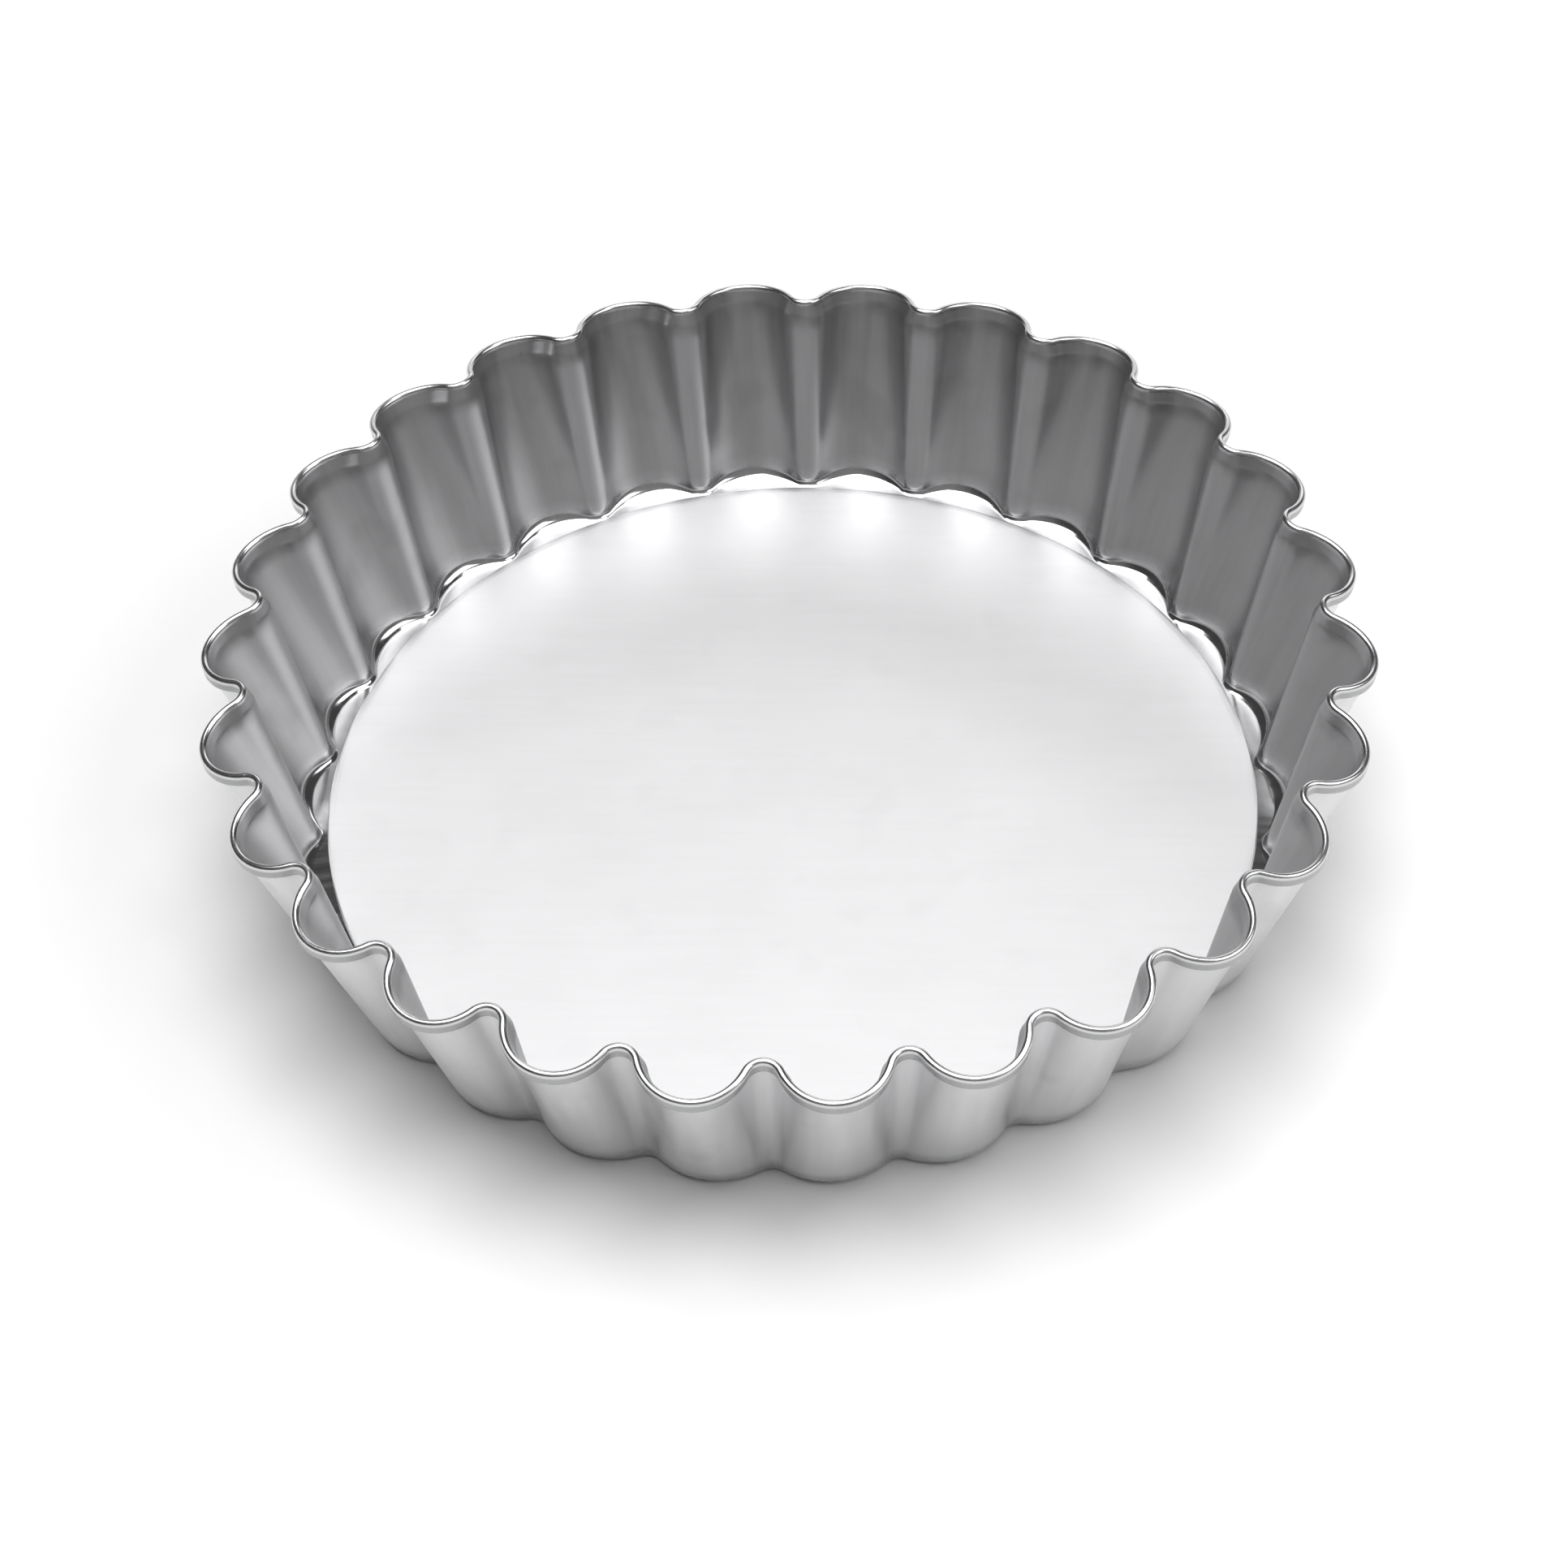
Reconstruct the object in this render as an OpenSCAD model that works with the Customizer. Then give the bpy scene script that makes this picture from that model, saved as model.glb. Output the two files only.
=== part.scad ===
// Fluted tart pan with a loose base.
// A pressed sheet ring with drafted flutes, a hemmed rim and an inturned ledge,
// and a flat disc that lies loose on the ledge and lifts straight out.

/* [Rim] */
// Diameter over the outside of the lobes at the rim
rim_d = 120; // [110:1:140]
// Depth of a flute at the rim, from lobe crest to groove
rim_flute = 4.5; // [3.5:0.1:5]
// Radius of the grooves at the rim, on the outside
rim_groove_r = 1.4; // [1:0.1:2]
// Drop of the rim over the lobes, below its height over the grooves
rim_dip = 1.2; // [0:0.1:2]
// Height of the hem, the outward fold of the rim
hem_h = 1.6; // [1.2:0.1:2.5]

/* [Wall] */
// Height of the ring, from the underside to the rim over the grooves
height = 22.8; // [18:0.2:30]
// Thickness of the sheet
sheet = 0.4; // [0.3:0.05:0.6]
// Number of flutes round the wall
flutes = 26; // [20:1:32]

/* [Foot] */
// Diameter over the lobes at the foot, at the sharp corner of the outside
foot_d = 103.8; // [100:0.1:106]
// Depth of a flute at the foot
foot_flute = 2; // [1.5:0.1:2.5]
// Radius of the grooves at the foot, on the outside
foot_groove_r = 1.9; // [1.5:0.1:2.5]
// Inside bend from wall to ledge, in the lobes
lobe_bend_r = 1.5; // [0.8:0.1:2]
// Inside bend from wall to ledge, at the grooves
groove_bend_r = 0.7; // [0.5:0.1:1]
// Diameter of the opening inside the ledge
opening_d = 86; // [70:1:92]

/* [Loose base] */
// Thickness of the base
base_t = 0.5; // [0.4:0.1:1]
// Gap between the base and the bend of the ring, all round
base_gap = 0.3; // [0.2:0.05:0.6]
// Width of the eased band at the edge of the base
ease_w = 0.6; // [0.3:0.1:1]
// Depth of the eased band at the edge of the base
ease_h = 0.15; // [0.05:0.05:0.2]

/* [Hidden] */
$fn = 180;

lobe_steps = 4;      // segments on half a lobe
groove_steps = 2;    // segments on half a groove
bend_steps = 3;      // segments on the bend at the foot
roll_steps = 4;      // segments over the rolled top of the hem
half = lobe_steps + groove_steps;
pitch = 360 / flutes;
overcut = 1;         // how far a cutter runs past a face

// An outline is [crest radius, groove radius, groove arc radius, inward offset].
rim_outline = [rim_d / 2, rim_d / 2 - rim_flute, rim_groove_r];
foot_outline = [foot_d / 2, foot_d / 2 - foot_flute, foot_groove_r];

// Draft of the wall from the vertical, halfway between lobe and groove
draft = atan((rim_d - foot_d - rim_flute + foot_flute) / 2 / height);
// Inset of the inside corner of the foot from its outside corner
corner_inset = sheet * tan((90 - draft) / 2);
// Where the bend meets the ledge at the grooves, and the base that clears it
groove_bend_in = groove_bend_r * tan((90 - draft) / 2);
base_r = foot_d / 2 - foot_flute - corner_inset - groove_bend_in - base_gap;

// Radius of the lobe arc that runs tangent into the groove arc of an outline
function lobe_arc(o) =
    let (c = o[1] + o[2], k = c * cos(pitch / 2))
    (o[0] * o[0] + c * c - 2 * o[0] * k - o[2] * o[2]) / (2 * (o[2] + o[0] - k));

// Turn of half the lobe arc, from its crest to the tangent point
function lobe_turn(o) =
    let (c = o[1] + o[2])
    atan2(c * sin(pitch / 2), c * cos(pitch / 2) - o[0] + lobe_arc(o));

// Point at step s of half a flute, from the crest at 0 to the groove at half
function half_point(o, inset, s) =
    let (arc = lobe_arc(o), turn = lobe_turn(o), c = o[1] + o[2])
    s <= lobe_steps
        ? let (t = turn * s / lobe_steps)
          [o[0] - arc + (arc - inset) * cos(t), (arc - inset) * sin(t)]
        : let (t = 180 + turn + (pitch / 2 - turn) * (s - lobe_steps) / groove_steps)
          [c * cos(pitch / 2) + (o[2] + inset) * cos(t),
           c * sin(pitch / 2) + (o[2] + inset) * sin(t)];

// Point at station i of the whole outline, counted from a groove
function outline_point(o, inset, i) =
    let (k = floor(i / (2 * half)), s = i - k * 2 * half - half,
         p = half_point(o, inset, abs(s)), y = s < 0 ? -p[1] : p[1], a = k * pitch)
    [p[0] * cos(a) - y * sin(a), p[0] * sin(a) + y * cos(a)];

// How far station i lies from its groove towards the lobe crest, from 0 to 1
function lobe_share(i) =
    let (r = norm(outline_point(rim_outline, 0, i)))
    (r - rim_outline[1]) / rim_flute;

function rim_top(i) = height - rim_dip * lobe_share(i);
function bend_r(i) = groove_bend_r + (lobe_bend_r - groove_bend_r) * lobe_share(i);
function at(p, z) = [p[0], p[1], z];
function unit(v) = v / norm(v);

// Point of the bend that rounds corner c between the wall and the ledge: turn
// runs from 0 on the ledge to 1 on the wall, and top is the wall's upper end.
function bend_point(c, top, r, turn) =
    let (wall = unit(top - c), ledge = unit([-c[0], -c[1], 0]),
         opening = acos(wall * ledge), reach = r / tan(opening / 2),
         mid = unit(wall + ledge), side = unit(wall - ledge),
         centre = c + mid * r / sin(opening / 2), t = (90 - opening / 2) * (2 * turn - 1))
    centre - mid * r * cos(t) + side * r * sin(t);

// Ends of the wall's straight lines at station i, on the outside and the inside
function outer_foot(i) = at(outline_point(foot_outline, 0, i), 0);
function outer_top(i) = at(outline_point(rim_outline, sheet, i), rim_top(i));
function inner_foot(i) = at(outline_point(foot_outline, corner_inset, i), sheet);
function inner_top(i) = at(outline_point(rim_outline, 2 * sheet, i), rim_top(i) - sheet);

// Point of the outside wall at station i and height z
function wall_point(i, z) =
    let (f = outer_foot(i), t = outer_top(i)) f + (t - f) * z / t[2];

// The section at station i, from the ledge's underside up, over and down inside
function section(i) = concat(
    [for (b = [0 : bend_steps])
        bend_point(outer_foot(i), outer_top(i), bend_r(i) + sheet, b / bend_steps)],
    [wall_point(i, rim_top(i) - hem_h),
     at(outline_point(rim_outline, sheet * hem_h * tan(draft), i), rim_top(i) - hem_h)],
    [for (b = [0 : roll_steps])
        let (t = 180 * b / roll_steps)
        at(outline_point(rim_outline, sheet * (1 - cos(t)), i),
           rim_top(i) - sheet + sheet * sin(t))],
    [for (b = [bend_steps : -1 : 0])
        bend_point(inner_foot(i), inner_top(i), bend_r(i), b / bend_steps)]);

// The ring before its opening is cut, closed by a flat floor inside the ledge
module fluted_cup() {
    stations = flutes * 2 * half;
    rings = len(section(0));
    points = [for (i = [0 : stations - 1]) each section(i)];
    // Corner of ring r at station i, wrapping round the axis
    function corner(i, r) = (i % stations) * rings + r;
    sides = [for (i = [0 : stations - 1], r = [0 : rings - 2])
        each [[corner(i, r), corner(i, r + 1), corner(i + 1, r)],
              [corner(i + 1, r), corner(i, r + 1), corner(i + 1, r + 1)]]];
    underside = [for (i = [0 : stations - 1]) corner(i, 0)];
    floor_top = [for (i = [stations - 1 : -1 : 0]) corner(i, rings - 1)];
    polyhedron(points, concat(sides, [underside, floor_top]), convexity = 10);
}

// The pressed ring: fluted wall, hemmed rim, bend and inturned ledge
module fluted_ring() {
    color([0.75, 0.76, 0.77])
    difference() {
        fluted_cup();
        translate([0, 0, -overcut])
        cylinder(d = opening_d, h = sheet + 2 * overcut);
    }
}

// The loose base: a flat disc with an eased upper edge, lying on the ledge
module loose_base() {
    color([0.86, 0.87, 0.88])
    translate([0, 0, sheet])
    rotate_extrude()
    polygon([[0, 0], [base_r - ease_h, 0], [base_r, ease_h], [base_r, base_t - ease_h],
             [base_r - ease_w, base_t], [0, base_t]]);
}

fluted_ring();
loose_base();
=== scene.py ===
"""Looks for the fluted tart pan: a hemmed, pressed ring and a loose base in bare tin plate."""

import math

import bpy
import numpy as np
from mathutils import Matrix, Vector


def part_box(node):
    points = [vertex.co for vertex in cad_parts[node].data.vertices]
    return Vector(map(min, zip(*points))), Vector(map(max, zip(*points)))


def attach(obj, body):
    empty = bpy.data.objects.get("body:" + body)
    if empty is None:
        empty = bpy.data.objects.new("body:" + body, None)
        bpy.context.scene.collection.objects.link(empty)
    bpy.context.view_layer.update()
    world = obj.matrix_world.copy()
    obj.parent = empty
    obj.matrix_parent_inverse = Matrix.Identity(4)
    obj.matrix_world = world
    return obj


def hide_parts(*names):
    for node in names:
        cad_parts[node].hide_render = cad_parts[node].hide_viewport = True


MM = 0.001

# The ring, in metres. Its outer radius and height come from the CAD box.
FLUTES = 26
SHEET = 0.40 * MM
RIM_FLUTE = 4.5 * MM
RIM_GROOVE_R = 1.4 * MM
RIM_DIP = 1.2 * MM
HEM_H = 1.6 * MM
HEM_LEAN = 0.15 * MM        # how far the hem's foot stands inside its top
WALL_LEAN = 0.45 * MM       # how far the wall behind the hem moves in over the hem's height
ROLL_R = 0.40 * MM          # outer radius of the rolled top
BEAD_TURN = 9               # degrees by which the rolled top turns under, before the hem's flat
HEM_STEP = 0.05 * MM        # how far the wall below the hem's trace steps inwards
TRACE_H = 0.25 * MM         # height of that step
HEM_GAP = 0.05 * MM         # width of the slit behind the hem at its closed end
SLIT_DEPTH = 1.00 * MM
FOOT_R = 51.9 * MM
FOOT_FLUTE = 2.0 * MM
FOOT_GROOVE_R = 1.9 * MM
LOBE_BEND_R = 1.5 * MM
GROOVE_BEND_R = 0.7 * MM
OPENING_R = 43.0 * MM
EDGE_R = 0.12 * MM          # softening of cut sheet edges
EDGE_MID = EDGE_R * 0.3     # distance from both faces to the middle of a softened edge

# Mesh fineness of the ring
LOBE_STEPS = 12
GROOVE_STEPS = 8
BEND_STEPS = 9
ROLL_STEPS = 15
WALL_STEPS = 12
HEM_STEPS = 5
LEDGE_STEPS = 4
LIP_STEPS = 6

# The base's edge
BAND_W = 0.65 * MM
BAND_DROP = 0.03 * MM
BAND_SOFT = 0.10 * MM       # spacing of the rings that soften the step of the band
WORN_TOP = 1.6 * MM         # how far in from the edge the wear of the top fades out
WORN_UNDER = 1.2 * MM
BASE_STATIONS = 312

# The camera, in rim radii and degrees, about the pan's axis at the rim's height. The lens and
# the sensor are in millimetres.
VIEW_AZIMUTH = 3.863
VIEW_ELEVATION = 45.64
VIEW_DISTANCE = 7.075
VIEW_AIM = (-0.0124, -0.3254)
VIEW_ROLL = -2.354
VIEW_LENS = 99.1
SENSOR = 36.0

FLOOR_HALF = 8.0             # metres
FLOOR_DROP = 0.02 * MM       # keeps the floor clear of the ledge that rests on it
FLOOR_ALBEDO = 0.87

# Light, with 1 as the brightness that shows as white. Directions are azimuth and elevation.
ROOM = 0.06                 # where no glow reaches
# Glows of the room: middle, the cosines between which it fades in, brightness
GLOWS = [((355, 0), (0.75, 0.97), 0.9),
         ((200, 35), (0.40, 0.95), 0.18)]
DOME_R = 8.0                # metres
# Name, azimuth, elevation, width and depth as shares of the dome's radius, brightness
SOFTBOXES = [("overhead", 40, 85, 0.90, 0.90, 4.3),
             ("back", 350, 29, 0.4, 0.2, 1.6),
             ("fill", 258, 42, 0.8, 0.5, 2.4)]

# Materials
RING_TIN = 0.74
SHADE_DARKENING = 0.23                # painted shade: how much darker the tin is painted where the shade mark is 1
RING_ROUGH = 0.34
LEDGE_ROUGH = 0.18          # the flat sheet that the drawing left smooth
BASE_TIN = 0.74
BASE_ROUGH = 0.48
BLUE = 1.012                # the tin's blue against its red and green
DRAWN = (0.6 * MM, 2.0 * MM)  # heights between which flat sheet turns into drawn wall
# Cells a metre of the marks that do not follow the sheet's direction
CLOUD = 70
SMEAR = 160
SPECK = 2600
FINE = (4, 3)               # how much finer the fine marks are than the streaks
NOISE_RANGE = (0.3, 0.7)    # where nearly all of a noise lies
SMEAR_RANGE = (0.60, 0.72)  # where a smear fades in
# How much each mark changes the tone and the roughness
CLOUD_TONE, CLOUD_ROUGH = 0.02, 0.03
STREAK_TONE, STREAK_ROUGH = 0.025, 0.04
WORN_TONE, WORN_ROUGH = 0.05, 0.13
SMEAR_TONE, SMEAR_ROUGH = 0.05, 0.03
# Shares of the bump
STREAK_BUMP, FINE_BUMP, SPECK_BUMP = 0.6, 0.25, 0.15
FLAT_BUMP = 0.1             # what the flat sheet keeps of it
BUMP_HEIGHT = 0.01 * MM


# ---------------------------------------------------------------- the ring's outline

class Outline:
    """A fluted outline: lobe arcs that run tangent into small groove arcs."""

    def __init__(self, crest, flute, groove_r):
        half_pitch = math.pi / FLUTES
        self.half_pitch = half_pitch
        self.crest = crest
        self.groove = crest - flute
        self.groove_r = groove_r
        centre = self.groove + groove_r
        along = centre * math.cos(half_pitch)
        across = centre * math.sin(half_pitch)
        self.groove_centre = np.array([along, across])
        self.lobe_r = (crest**2 + centre**2 - 2 * crest * along - groove_r**2) / (
            2 * (groove_r + crest - along))
        self.turn = math.atan2(across, along - crest + self.lobe_r)

    def half_flute(self, inset):
        """Points of half a flute from its crest to its groove, moved inwards by inset."""
        t = self.turn * np.arange(LOBE_STEPS + 1) / LOBE_STEPS
        lobe = np.stack([self.crest - self.lobe_r + (self.lobe_r - inset) * np.cos(t),
                         (self.lobe_r - inset) * np.sin(t)], -1)
        share = np.arange(1, GROOVE_STEPS + 1) / GROOVE_STEPS
        t = math.pi + self.turn + (self.half_pitch - self.turn) * share
        groove = self.groove_centre + (self.groove_r + inset) * np.stack(
            [np.cos(t), np.sin(t)], -1)
        return np.concatenate([lobe, groove])

    def points(self, inset):
        """The whole outline, counted from the groove before the flute on +X."""
        half = self.half_flute(inset)
        flute = np.concatenate([half[:0:-1] * [1, -1], half[:-1]])
        turned = []
        for k in range(FLUTES):
            a = 2 * math.pi * k / FLUTES
            c, s = math.cos(a), math.sin(a)
            turned.append(flute @ np.array([[c, s], [-s, c]]))
        return np.concatenate(turned)


def lift(points, z):
    """Flat points raised to height z, which is one number or one for each point."""
    return np.column_stack([points, np.broadcast_to(z, len(points))])


def unit(v):
    return v / np.linalg.norm(v, axis=-1, keepdims=True)


def bend(corner, top, radius, steps):
    """Rings of the bend that rounds corner between the wall, up to top, and the ledge."""
    wall = unit(top - corner)
    ledge = unit(np.column_stack([-corner[:, :2], np.zeros(len(corner))]))
    half = np.arccos((wall * ledge).sum(1)) / 2
    mid, side = unit(wall + ledge), unit(wall - ledge)
    r = np.asarray(radius)[:, None]
    centre = corner + mid * r / np.sin(half)[:, None]
    rings = []
    for b in range(steps + 1):
        t = ((math.pi / 2 - half) * (2 * b / steps - 1))[:, None]
        rings.append(centre - mid * r * np.cos(t) + side * r * np.sin(t))
    return rings


def between(a, b, steps):
    """Rings strictly between rings a and b."""
    return [a + (b - a) * k / steps for k in range(1, steps)]


def ring_sections(rim_r, height):
    """The ring's closed section as rings of points, with the wear and the painted shade of each
    ring.
    """
    rim = Outline(rim_r, RIM_FLUTE, RIM_GROOVE_R)
    foot = Outline(FOOT_R, FOOT_FLUTE, FOOT_GROOVE_R)
    share = (np.linalg.norm(rim.points(0), axis=1) - rim.groove) / RIM_FLUTE
    top = height - RIM_DIP * share
    draft = math.atan((rim_r - FOOT_R) / height)
    corner_inset = SHEET * math.tan((math.pi / 2 - draft) / 2)
    bend_r = GROOVE_BEND_R + (LOBE_BEND_R - GROOVE_BEND_R) * share

    hem_foot = top - HEM_H
    outer_corner = lift(foot.points(0), 0)
    inner_corner = lift(foot.points(corner_inset), SHEET)
    outer_top = lift(rim.points(WALL_LEAN + SHEET), hem_foot)
    inner_top = lift(rim.points(WALL_LEAN + 2 * SHEET), hem_foot)
    trace_foot = lift(rim.points(WALL_LEAN + 2 * SHEET + HEM_STEP + TRACE_H * math.tan(draft)),
                      hem_foot - TRACE_H)
    rings, wear, painted_shade = [], [], []

    # the third number is painted shade: how much the tin of each ring is darkened to stand for
    # shade and dark reflections
    def add(new, worn=0.0, shade_amount=0.0):
        rings.extend(new)
        wear.extend([worn] * len(new))
        painted_shade.extend([shade_amount] * len(new))

    def ledge_ring(r, z):
        return lift(unit(outer_corner[:, :2]) * r, z)

    def hem_ring(inset, z):
        return lift(rim.points(inset), z)

    add([ledge_ring(OPENING_R, EDGE_R), ledge_ring(OPENING_R + EDGE_MID, EDGE_MID),
         ledge_ring(OPENING_R + EDGE_R, 0)], 1.0)
    outer_bend = bend(outer_corner, outer_top, bend_r + SHEET, BEND_STEPS)
    add(between(rings[-1], outer_bend[0], LEDGE_STEPS), 0.3)
    # painted shade: the foot bend is darkened for the dark line of the floor's shadow that it
    # mirrors
    add(outer_bend, 0.2, 1.0)
    add(between(outer_bend[-1], outer_top, WALL_STEPS) + [outer_top])
    slit = hem_foot + SLIT_DEPTH
    add([hem_ring(SHEET + 2 * HEM_GAP, slit), hem_ring(SHEET + HEM_GAP, slit)])
    lip = (SHEET - HEM_GAP) / 2
    turns = [math.pi * k / LIP_STEPS for k in range(LIP_STEPS + 1)]
    # painted shade: the hem's outside is darkened to grey, and the roll less so, which narrows the
    # roll's highlight
    add([hem_ring(HEM_LEAN + lip + lip * math.cos(t), hem_foot + lip - lip * math.sin(t))
         for t in turns], 0.7, 1.5)
    start = math.radians(-BEAD_TURN)
    turns = [start + (math.pi - start) * k / ROLL_STEPS for k in range(ROLL_STEPS + 1)]
    roll = [hem_ring(ROLL_R * (1 - math.cos(t)), top + ROLL_R * (math.sin(t) - 1)) for t in turns]
    add(between(rings[-1], roll[0], HEM_STEPS), 0.1, 1.5)
    add(roll, 0.8, 0.6)
    # painted shade: the inside of the hem, the wall, its bend by half and the ledge are darkened
    add(between(rings[-1], inner_top, HEM_STEPS) + [inner_top], 0.1, 0.7)
    add([trace_foot], 0.1, 1.0)
    inner_bend = bend(inner_corner, trace_foot, bend_r, BEND_STEPS)[::-1]
    add(between(trace_foot, inner_bend[0], WALL_STEPS), 0.0, 1.0)
    add(inner_bend, 0.5, 0.5)
    hole_top = ledge_ring(OPENING_R + EDGE_R, SHEET)
    add(between(inner_bend[-1], hole_top, LEDGE_STEPS), 0.3, 1.0)
    add([hole_top, ledge_ring(OPENING_R + EDGE_MID, SHEET - EDGE_MID),
         ledge_ring(OPENING_R, SHEET - EDGE_R)], 1.0)
    return rings, {"wear": wear, "painted_shade": painted_shade}


def make_object(name, verts, faces, uvs, marks, material):
    """A smooth mesh piece with a UV map in metres and named values at each vertex."""
    mesh = bpy.data.meshes.new(name)
    mesh.from_pydata([tuple(v) for v in verts], [], faces)
    layer = mesh.uv_layers.new(name="along_sheet")
    layer.data.foreach_set("uv", np.asarray(uvs, np.float32).ravel())
    for mark, values in marks.items():
        layer = mesh.attributes.new(mark, "FLOAT", "POINT")
        layer.data.foreach_set("value", np.asarray(values, np.float32))
    mesh.polygons.foreach_set("use_smooth", [True] * len(mesh.polygons))
    mesh.materials.append(material)
    piece = bpy.data.objects.new(name, mesh)
    bpy.context.scene.collection.objects.link(piece)
    return piece


def sweep_mesh(name, rings, marks, material):
    """A closed mesh whose faces run between rings of points, round both ways."""
    count, stations = len(rings), len(rings[0])
    verts = np.concatenate(rings)
    across = [np.linalg.norm(rings[(r + 1) % count] - rings[r], axis=1).mean()
              for r in range(count)]
    v_at = np.concatenate([[0], np.cumsum(across)])
    u_at = 2 * math.pi * np.linalg.norm(rings[-1][0, :2]) * np.arange(stations + 1) / stations
    faces, uvs = [], []
    for r in range(count):
        s = (r + 1) % count
        for i in range(stations):
            j = (i + 1) % stations
            faces.append((r * stations + i, r * stations + j, s * stations + j, s * stations + i))
            uvs += [(u_at[i], v_at[r]), (u_at[i + 1], v_at[r]),
                    (u_at[i + 1], v_at[r + 1]), (u_at[i], v_at[r + 1])]
    marks = {mark: np.repeat(values, stations) for mark, values in marks.items()}
    return make_object(name, verts, faces, uvs, marks, material)


# ---------------------------------------------------------------- scene set-up

def make_camera(rim_r, height):
    """The camera at the photograph's viewing angle."""
    a, e = math.radians(VIEW_AZIMUTH), math.radians(VIEW_ELEVATION)
    turn = Matrix.Rotation(a, 3, "Z")
    back = turn @ Vector((0, -math.cos(e), math.sin(e)))
    aim = turn @ Vector((VIEW_AIM[0] * rim_r, VIEW_AIM[1] * rim_r, 0)) + Vector((0, 0, height))
    right = turn @ Vector((1, 0, 0))
    up = right.cross(-back)
    roll = math.radians(VIEW_ROLL)
    x = right * math.cos(roll) + up * math.sin(roll)
    y = up * math.cos(roll) - right * math.sin(roll)
    camera = bpy.data.objects.new("camera", bpy.data.cameras.new("camera"))
    bpy.context.scene.collection.objects.link(camera)
    camera.data.lens = VIEW_LENS
    camera.data.sensor_width = SENSOR
    camera.data.clip_start = 0.01
    axes = Matrix((x, y, back)).transposed().to_4x4()
    camera.matrix_world = Matrix.Translation(aim + back * VIEW_DISTANCE * rim_r) @ axes
    bpy.context.scene.camera = camera


def cleared(tree):
    tree.nodes.clear()
    return tree.nodes, tree.links


def make_floor():
    mesh = bpy.data.meshes.new("floor")
    h, z = FLOOR_HALF, -FLOOR_DROP
    mesh.from_pydata([(-h, -h, z), (h, -h, z), (h, h, z), (-h, h, z)], [], [(0, 1, 2, 3)])
    floor = bpy.data.objects.new("floor", mesh)
    bpy.context.scene.collection.objects.link(floor)
    material = bpy.data.materials.new("pale_floor")
    material.use_nodes = True
    nodes, links = cleared(material.node_tree)
    out = nodes.new("ShaderNodeOutputMaterial")
    shader = nodes.new("ShaderNodeBsdfDiffuse")
    shader.inputs["Color"].default_value = (FLOOR_ALBEDO, FLOOR_ALBEDO, FLOOR_ALBEDO, 1)
    links.new(shader.outputs["BSDF"], out.inputs["Surface"])
    mesh.materials.append(material)


def facing(azimuth, elevation):
    """Unit direction from the pan. Azimuth 0 is behind it as the camera sees it, 90 its left."""
    a, e = math.radians(VIEW_AZIMUTH + 90 + azimuth), math.radians(elevation)
    return Vector((math.cos(e) * math.cos(a), math.cos(e) * math.sin(a), math.sin(e)))


def softbox(name, azimuth, elevation, width, depth, strength):
    """An area light on a dome above the pan. Strength is its brightness against white."""
    data = bpy.data.lights.new(name, "AREA")
    data.shape = "RECTANGLE"
    data.size, data.size_y = width * DOME_R, depth * DOME_R
    data.energy = strength * math.pi * data.size * data.size_y
    lamp = bpy.data.objects.new(name, data)
    bpy.context.scene.collection.objects.link(lamp)
    lamp.location = facing(azimuth, elevation) * DOME_R
    lamp.rotation_mode = "QUATERNION"
    lamp.rotation_quaternion = facing(azimuth, elevation).to_track_quat("Z", "Y")


def make_studio():
    """A dim room with glows, which the camera sees as white, and softboxes."""
    scene = bpy.context.scene
    world = bpy.data.worlds.new("studio")
    scene.world = world
    world.use_nodes = True
    nodes, links = cleared(world.node_tree)
    out = nodes.new("ShaderNodeOutputWorld")
    coord = nodes.new("ShaderNodeTexCoord")
    strength = None
    for middle, rise, glow in GLOWS:
        across = nodes.new("ShaderNodeVectorMath")
        across.operation = "DOT_PRODUCT"
        across.inputs[1].default_value = facing(*middle)
        links.new(coord.outputs["Generated"], across.inputs[0])
        fade = nodes.new("ShaderNodeMapRange")
        fade.interpolation_type = "SMOOTHSTEP"
        fade.inputs["From Min"].default_value, fade.inputs["From Max"].default_value = rise
        fade.inputs["To Max"].default_value = glow
        links.new(across.outputs["Value"], fade.inputs["Value"])
        total = nodes.new("ShaderNodeMath")
        total.inputs[1].default_value = ROOM
        if strength:
            links.new(strength, total.inputs[1])
        links.new(fade.outputs["Result"], total.inputs[0])
        strength = total.outputs[0]
    room = nodes.new("ShaderNodeBackground")
    room.inputs["Color"].default_value = (1, 1, 1, 1)
    links.new(strength, room.inputs["Strength"])
    seen = nodes.new("ShaderNodeBackground")
    seen.inputs["Color"].default_value = (1, 1, 1, 1)
    path = nodes.new("ShaderNodeLightPath")
    mix = nodes.new("ShaderNodeMixShader")
    links.new(path.outputs["Is Camera Ray"], mix.inputs[0])
    links.new(room.outputs[0], mix.inputs[1])
    links.new(seen.outputs[0], mix.inputs[2])
    links.new(mix.outputs[0], out.inputs["Surface"])
    for light in SOFTBOXES:
        softbox(*light)
    scene.view_settings.view_transform = "Standard"
    scene.view_settings.look = "None"


# ---------------------------------------------------------------- materials

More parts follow.
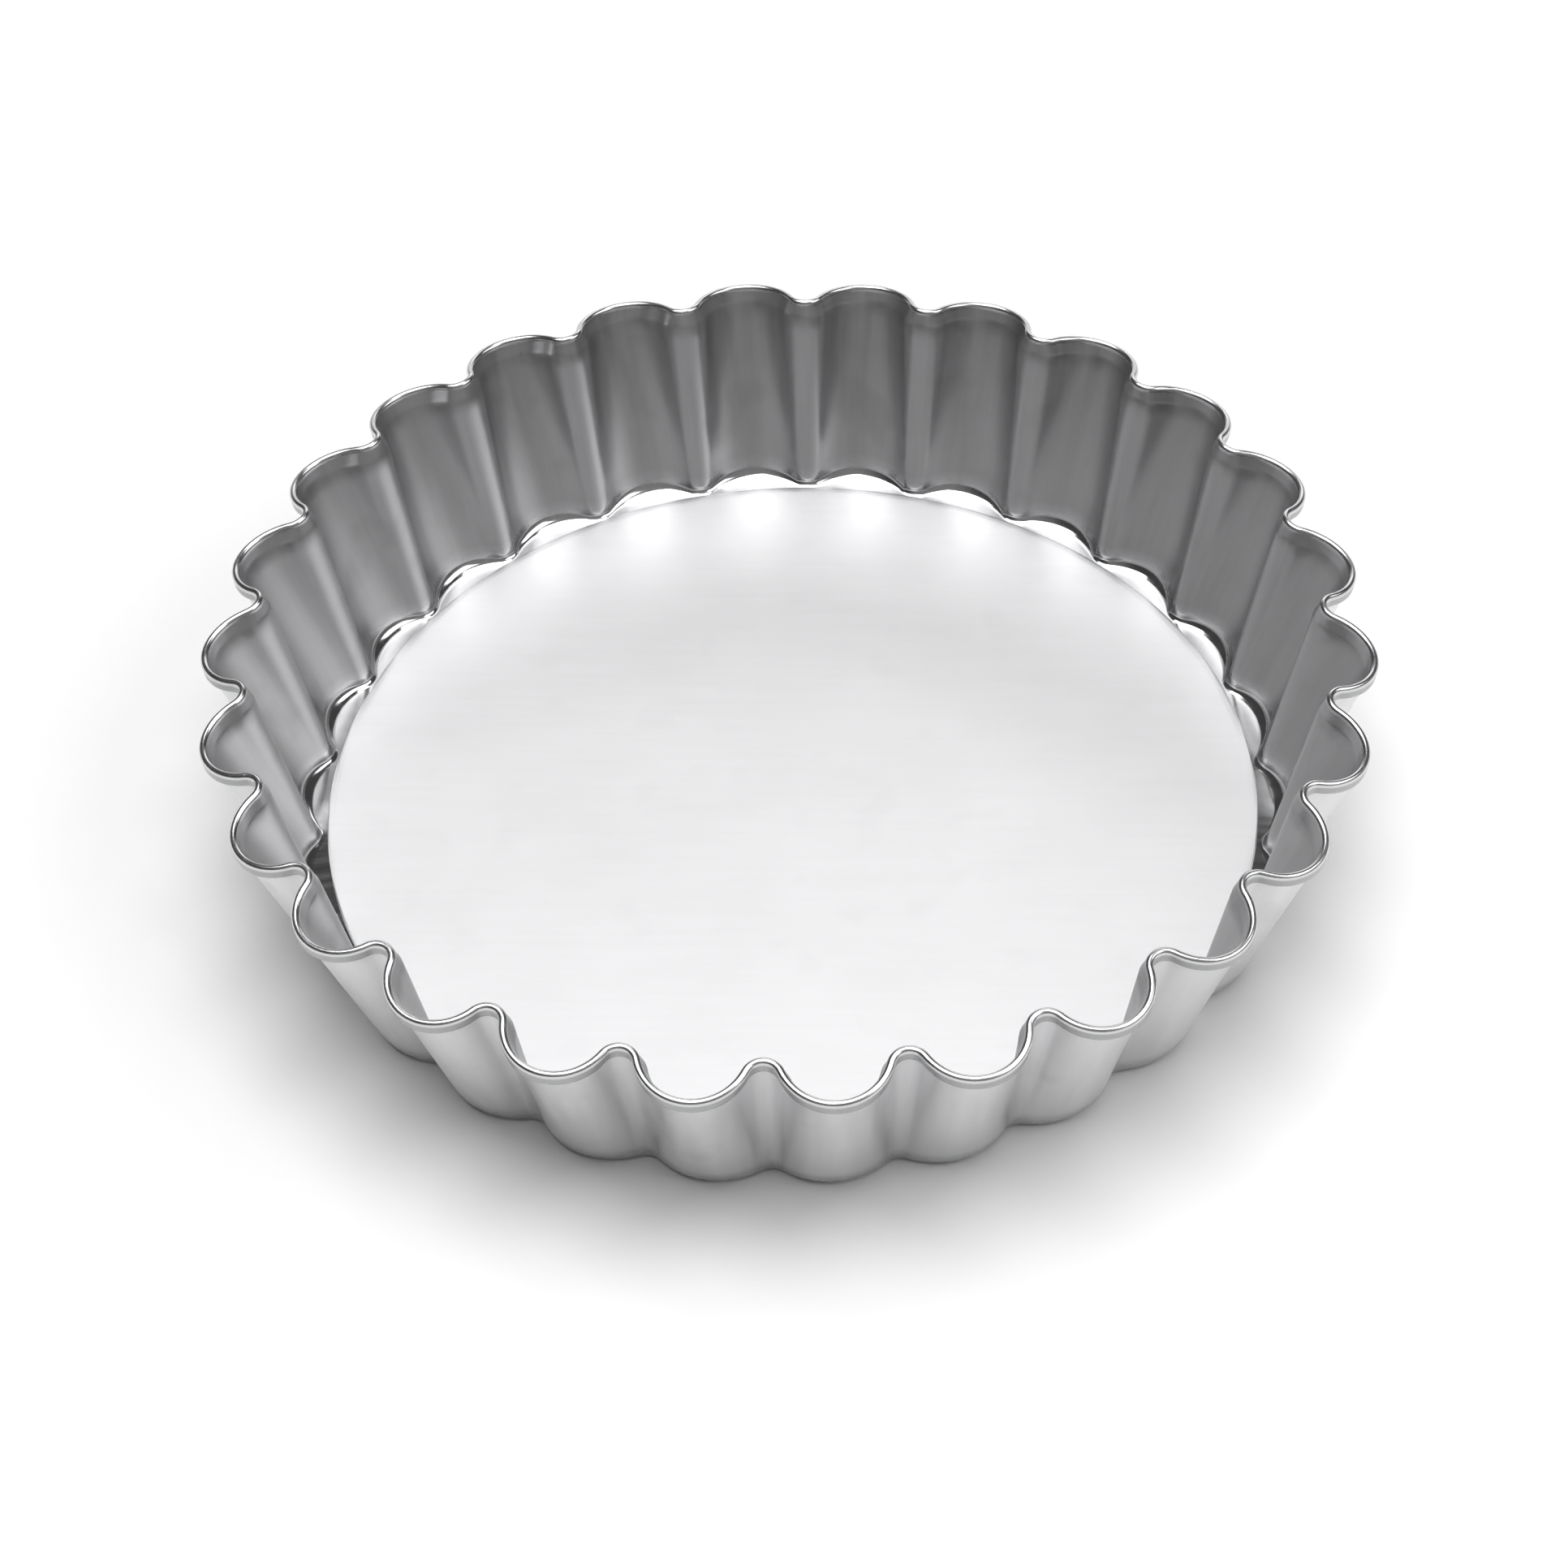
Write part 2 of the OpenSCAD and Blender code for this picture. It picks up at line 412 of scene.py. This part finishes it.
class Graph:
    """A material's nodes, with short ways to make the ones that the tin plate needs."""

    def __init__(self, name):
        self.material = bpy.data.materials.new(name)
        self.material.use_nodes = True
        self.nodes, self.links = cleared(self.material.node_tree)

    def node(self, kind, inputs=(), **settings):
        made = self.nodes.new(kind)
        for key, value in settings.items():
            setattr(made, key, value)
        for key, value in dict(inputs).items():
            if isinstance(value, bpy.types.NodeSocket):
                self.links.new(value, made.inputs[key])
            else:
                made.inputs[key].default_value = value
        return made

    def math(self, operation, a, b=0.0):
        return self.node("ShaderNodeMath", {0: a, 1: b}, operation=operation).outputs[0]

    def scaled(self, vector, scale):
        made = self.node("ShaderNodeVectorMath", {0: vector, 1: scale}, operation="MULTIPLY")
        return made.outputs[0]

    def noise(self, vector, detail=2.0, rough=0.5):
        """Noise of one cell a unit of vector, from 0 to 1 about 0.5."""
        return self.node("ShaderNodeTexNoise", {"Vector": vector, "Scale": 1.0, "Detail": detail,
                                                "Roughness": rough}).outputs["Fac"]

    def ramp(self, value, low, high, to_low=0.0, to_high=1.0):
        return self.node("ShaderNodeMapRange", {
            "Value": value, "From Min": low, "From Max": high,
            "To Min": to_low, "To Max": to_high}).outputs["Result"]

    def swing(self, noise, amount):
        """Noise spread from minus to plus amount."""
        return self.ramp(noise, *NOISE_RANGE, -amount, amount)


def tin_plate(name, tin, roughness, flat_roughness, streaks, depth, uneven):
    """Bare tin plate. Streaks are cells a metre along u and v for drawing or rolling marks.

    The walls have the given roughness and depth of marks, and the flat sheet below them its own.
    """
    g = Graph(name)
    uv = g.node("ShaderNodeUVMap", uv_map="along_sheet").outputs[0]
    place = g.node("ShaderNodeTexCoord").outputs["Object"]
    worn = g.node("ShaderNodeAttribute", attribute_name="wear").outputs["Fac"]
    # painted shade: the ring's mesh marks where its tin is painted darker to stand for shade
    shade_amount = g.node("ShaderNodeAttribute", attribute_name="painted_shade").outputs["Fac"]
    drawn = g.ramp(g.node("ShaderNodeSeparateXYZ", {0: place}).outputs["Z"], *DRAWN)
    marks = g.noise(g.scaled(uv, (streaks[0], streaks[1], 1)), 3.0, 0.6)
    fine = g.noise(g.scaled(uv, (streaks[0] * FINE[0], streaks[1] * FINE[1], 1)), 2.0, 0.6)
    cloud = g.noise(g.scaled(place, (CLOUD, CLOUD, CLOUD)), 3.0, 0.6)
    speck = g.noise(g.scaled(place, (SPECK, SPECK, SPECK)), 2.0, 0.5)
    smear = g.ramp(g.noise(g.scaled(place, (SMEAR, SMEAR, SMEAR)), 2.0, 0.4), *SMEAR_RANGE)
    tone = g.math("ADD", g.swing(cloud, CLOUD_TONE), g.swing(marks, STREAK_TONE))
    tone = g.math("ADD", tone, g.math("MULTIPLY", worn, WORN_TONE))
    # painted shade darkens the tone
    tone = g.math("SUBTRACT", tone, g.math("MULTIPLY", shade_amount, SHADE_DARKENING))
    tone = g.math("SUBTRACT", tone, g.math("MULTIPLY", smear, SMEAR_TONE))
    level = g.math("ADD", g.math("MULTIPLY", tone, uneven), tin)
    colour = g.node("ShaderNodeCombineColor", {"Red": level, "Green": level,
                                               "Blue": g.math("MULTIPLY", level, BLUE)}).outputs[0]
    rough = g.math("ADD", g.swing(cloud, CLOUD_ROUGH), g.swing(marks, STREAK_ROUGH))
    rough = g.math("SUBTRACT", rough, g.math("MULTIPLY", worn, WORN_ROUGH))
    rough = g.math("ADD", rough, g.math("MULTIPLY", smear, SMEAR_ROUGH))
    height = g.math("ADD", g.math("MULTIPLY", marks, STREAK_BUMP),
                    g.math("MULTIPLY", fine, FINE_BUMP))
    height = g.math("ADD", height, g.math("MULTIPLY", speck, SPECK_BUMP))
    kept = g.math("ADD", g.math("MULTIPLY", drawn, 1 - FLAT_BUMP), FLAT_BUMP)
    height = g.math("MULTIPLY", height, kept)
    bump = g.node("ShaderNodeBump", {"Strength": depth, "Distance": BUMP_HEIGHT,
                                     "Height": height}).outputs["Normal"]
    base = g.ramp(drawn, 0.0, 1.0, flat_roughness, roughness)
    shader = g.node("ShaderNodeBsdfPrincipled", {
        "Metallic": 1.0, "Base Color": colour, "Normal": bump,
        "Roughness": g.math("ADD", g.math("MULTIPLY", rough, uneven), base)})
    g.node("ShaderNodeOutputMaterial", {"Surface": shader.outputs["BSDF"]})
    return g.material


# ---------------------------------------------------------------- pieces

def make_ring(rim_r, height):
    rings, marks = ring_sections(rim_r, height)
    tin = tin_plate("ring_tin", RING_TIN, RING_ROUGH, LEDGE_ROUGH,
                    streaks=(1400, 60), depth=0.2, uneven=1.0)
    ring = sweep_mesh("ring_shell", rings, marks, tin)
    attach(ring, "ring")
    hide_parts("fluted_ring")


def make_base(low, high):
    """The disc, turned round its axis, with a soft edge and a coined band just inside it."""
    r, z0, z1 = high.x, low.z, high.z
    band = z1 - BAND_DROP
    step = r - BAND_W
    section = [(0.0, z0, 0.2), (r * 0.5, z0, 0.2), (r - WORN_UNDER, z0, 0.3), (r - EDGE_R, z0, 1.0),
               (r - EDGE_MID, z0 + EDGE_MID, 1.0), (r, z0 + EDGE_R, 1.0),
               (r, band - EDGE_R, 1.0), (r - EDGE_MID, band - EDGE_MID, 1.0),
               (r - EDGE_R, band, 1.0), (step + BAND_SOFT, z1 - BAND_DROP * 0.85, 0.4),
               (step, z1 - BAND_DROP * 0.5, 0.4), (step - BAND_SOFT, z1 - BAND_DROP * 0.15, 0.4),
               (step - 2 * BAND_SOFT, z1, 0.2), (r - WORN_TOP, z1, 0.0),
               (r * 0.75, z1, 0.0), (r * 0.5, z1, 0.0), (r * 0.25, z1, 0.0), (0.0, z1, 0.0)]
    verts, faces, wear, rows = [], [], [], []
    for radius, z, worn in section:
        turns = [2 * math.pi * k / BASE_STATIONS for k in range(BASE_STATIONS if radius else 1)]
        rows.append(range(len(verts), len(verts) + len(turns)))
        verts += [(radius * math.cos(t), radius * math.sin(t), z) for t in turns]
        wear += [worn] * len(turns)
    for a, b in zip(rows, rows[1:]):
        for k in range(BASE_STATIONS):
            n = (k + 1) % BASE_STATIONS
            if len(a) == 1:
                faces.append((a[0], b[n], b[k]))
            elif len(b) == 1:
                faces.append((a[k], a[n], b[0]))
            else:
                faces.append((a[k], a[n], b[n], b[k]))
    uvs = [verts[v][:2] for face in faces for v in face]
    tin = tin_plate("base_tin", BASE_TIN, BASE_ROUGH, BASE_ROUGH,
                    streaks=(60, 1400), depth=0.03, uneven=0.4)
    disc = make_object("base_disc", verts, faces, uvs, {"wear": wear}, tin)
    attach(disc, "base")
    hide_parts("loose_base")


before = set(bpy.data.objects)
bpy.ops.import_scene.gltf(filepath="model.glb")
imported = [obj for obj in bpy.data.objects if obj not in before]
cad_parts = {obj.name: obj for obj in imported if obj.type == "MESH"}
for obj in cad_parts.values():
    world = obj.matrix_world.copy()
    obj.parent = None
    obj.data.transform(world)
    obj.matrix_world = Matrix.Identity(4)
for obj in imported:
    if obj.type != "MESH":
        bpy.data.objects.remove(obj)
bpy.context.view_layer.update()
ring_low, ring_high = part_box("fluted_ring")
make_camera(ring_high.x, ring_high.z)
make_floor()
make_studio()
make_ring(ring_high.x, ring_high.z)
make_base(*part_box("loose_base"))
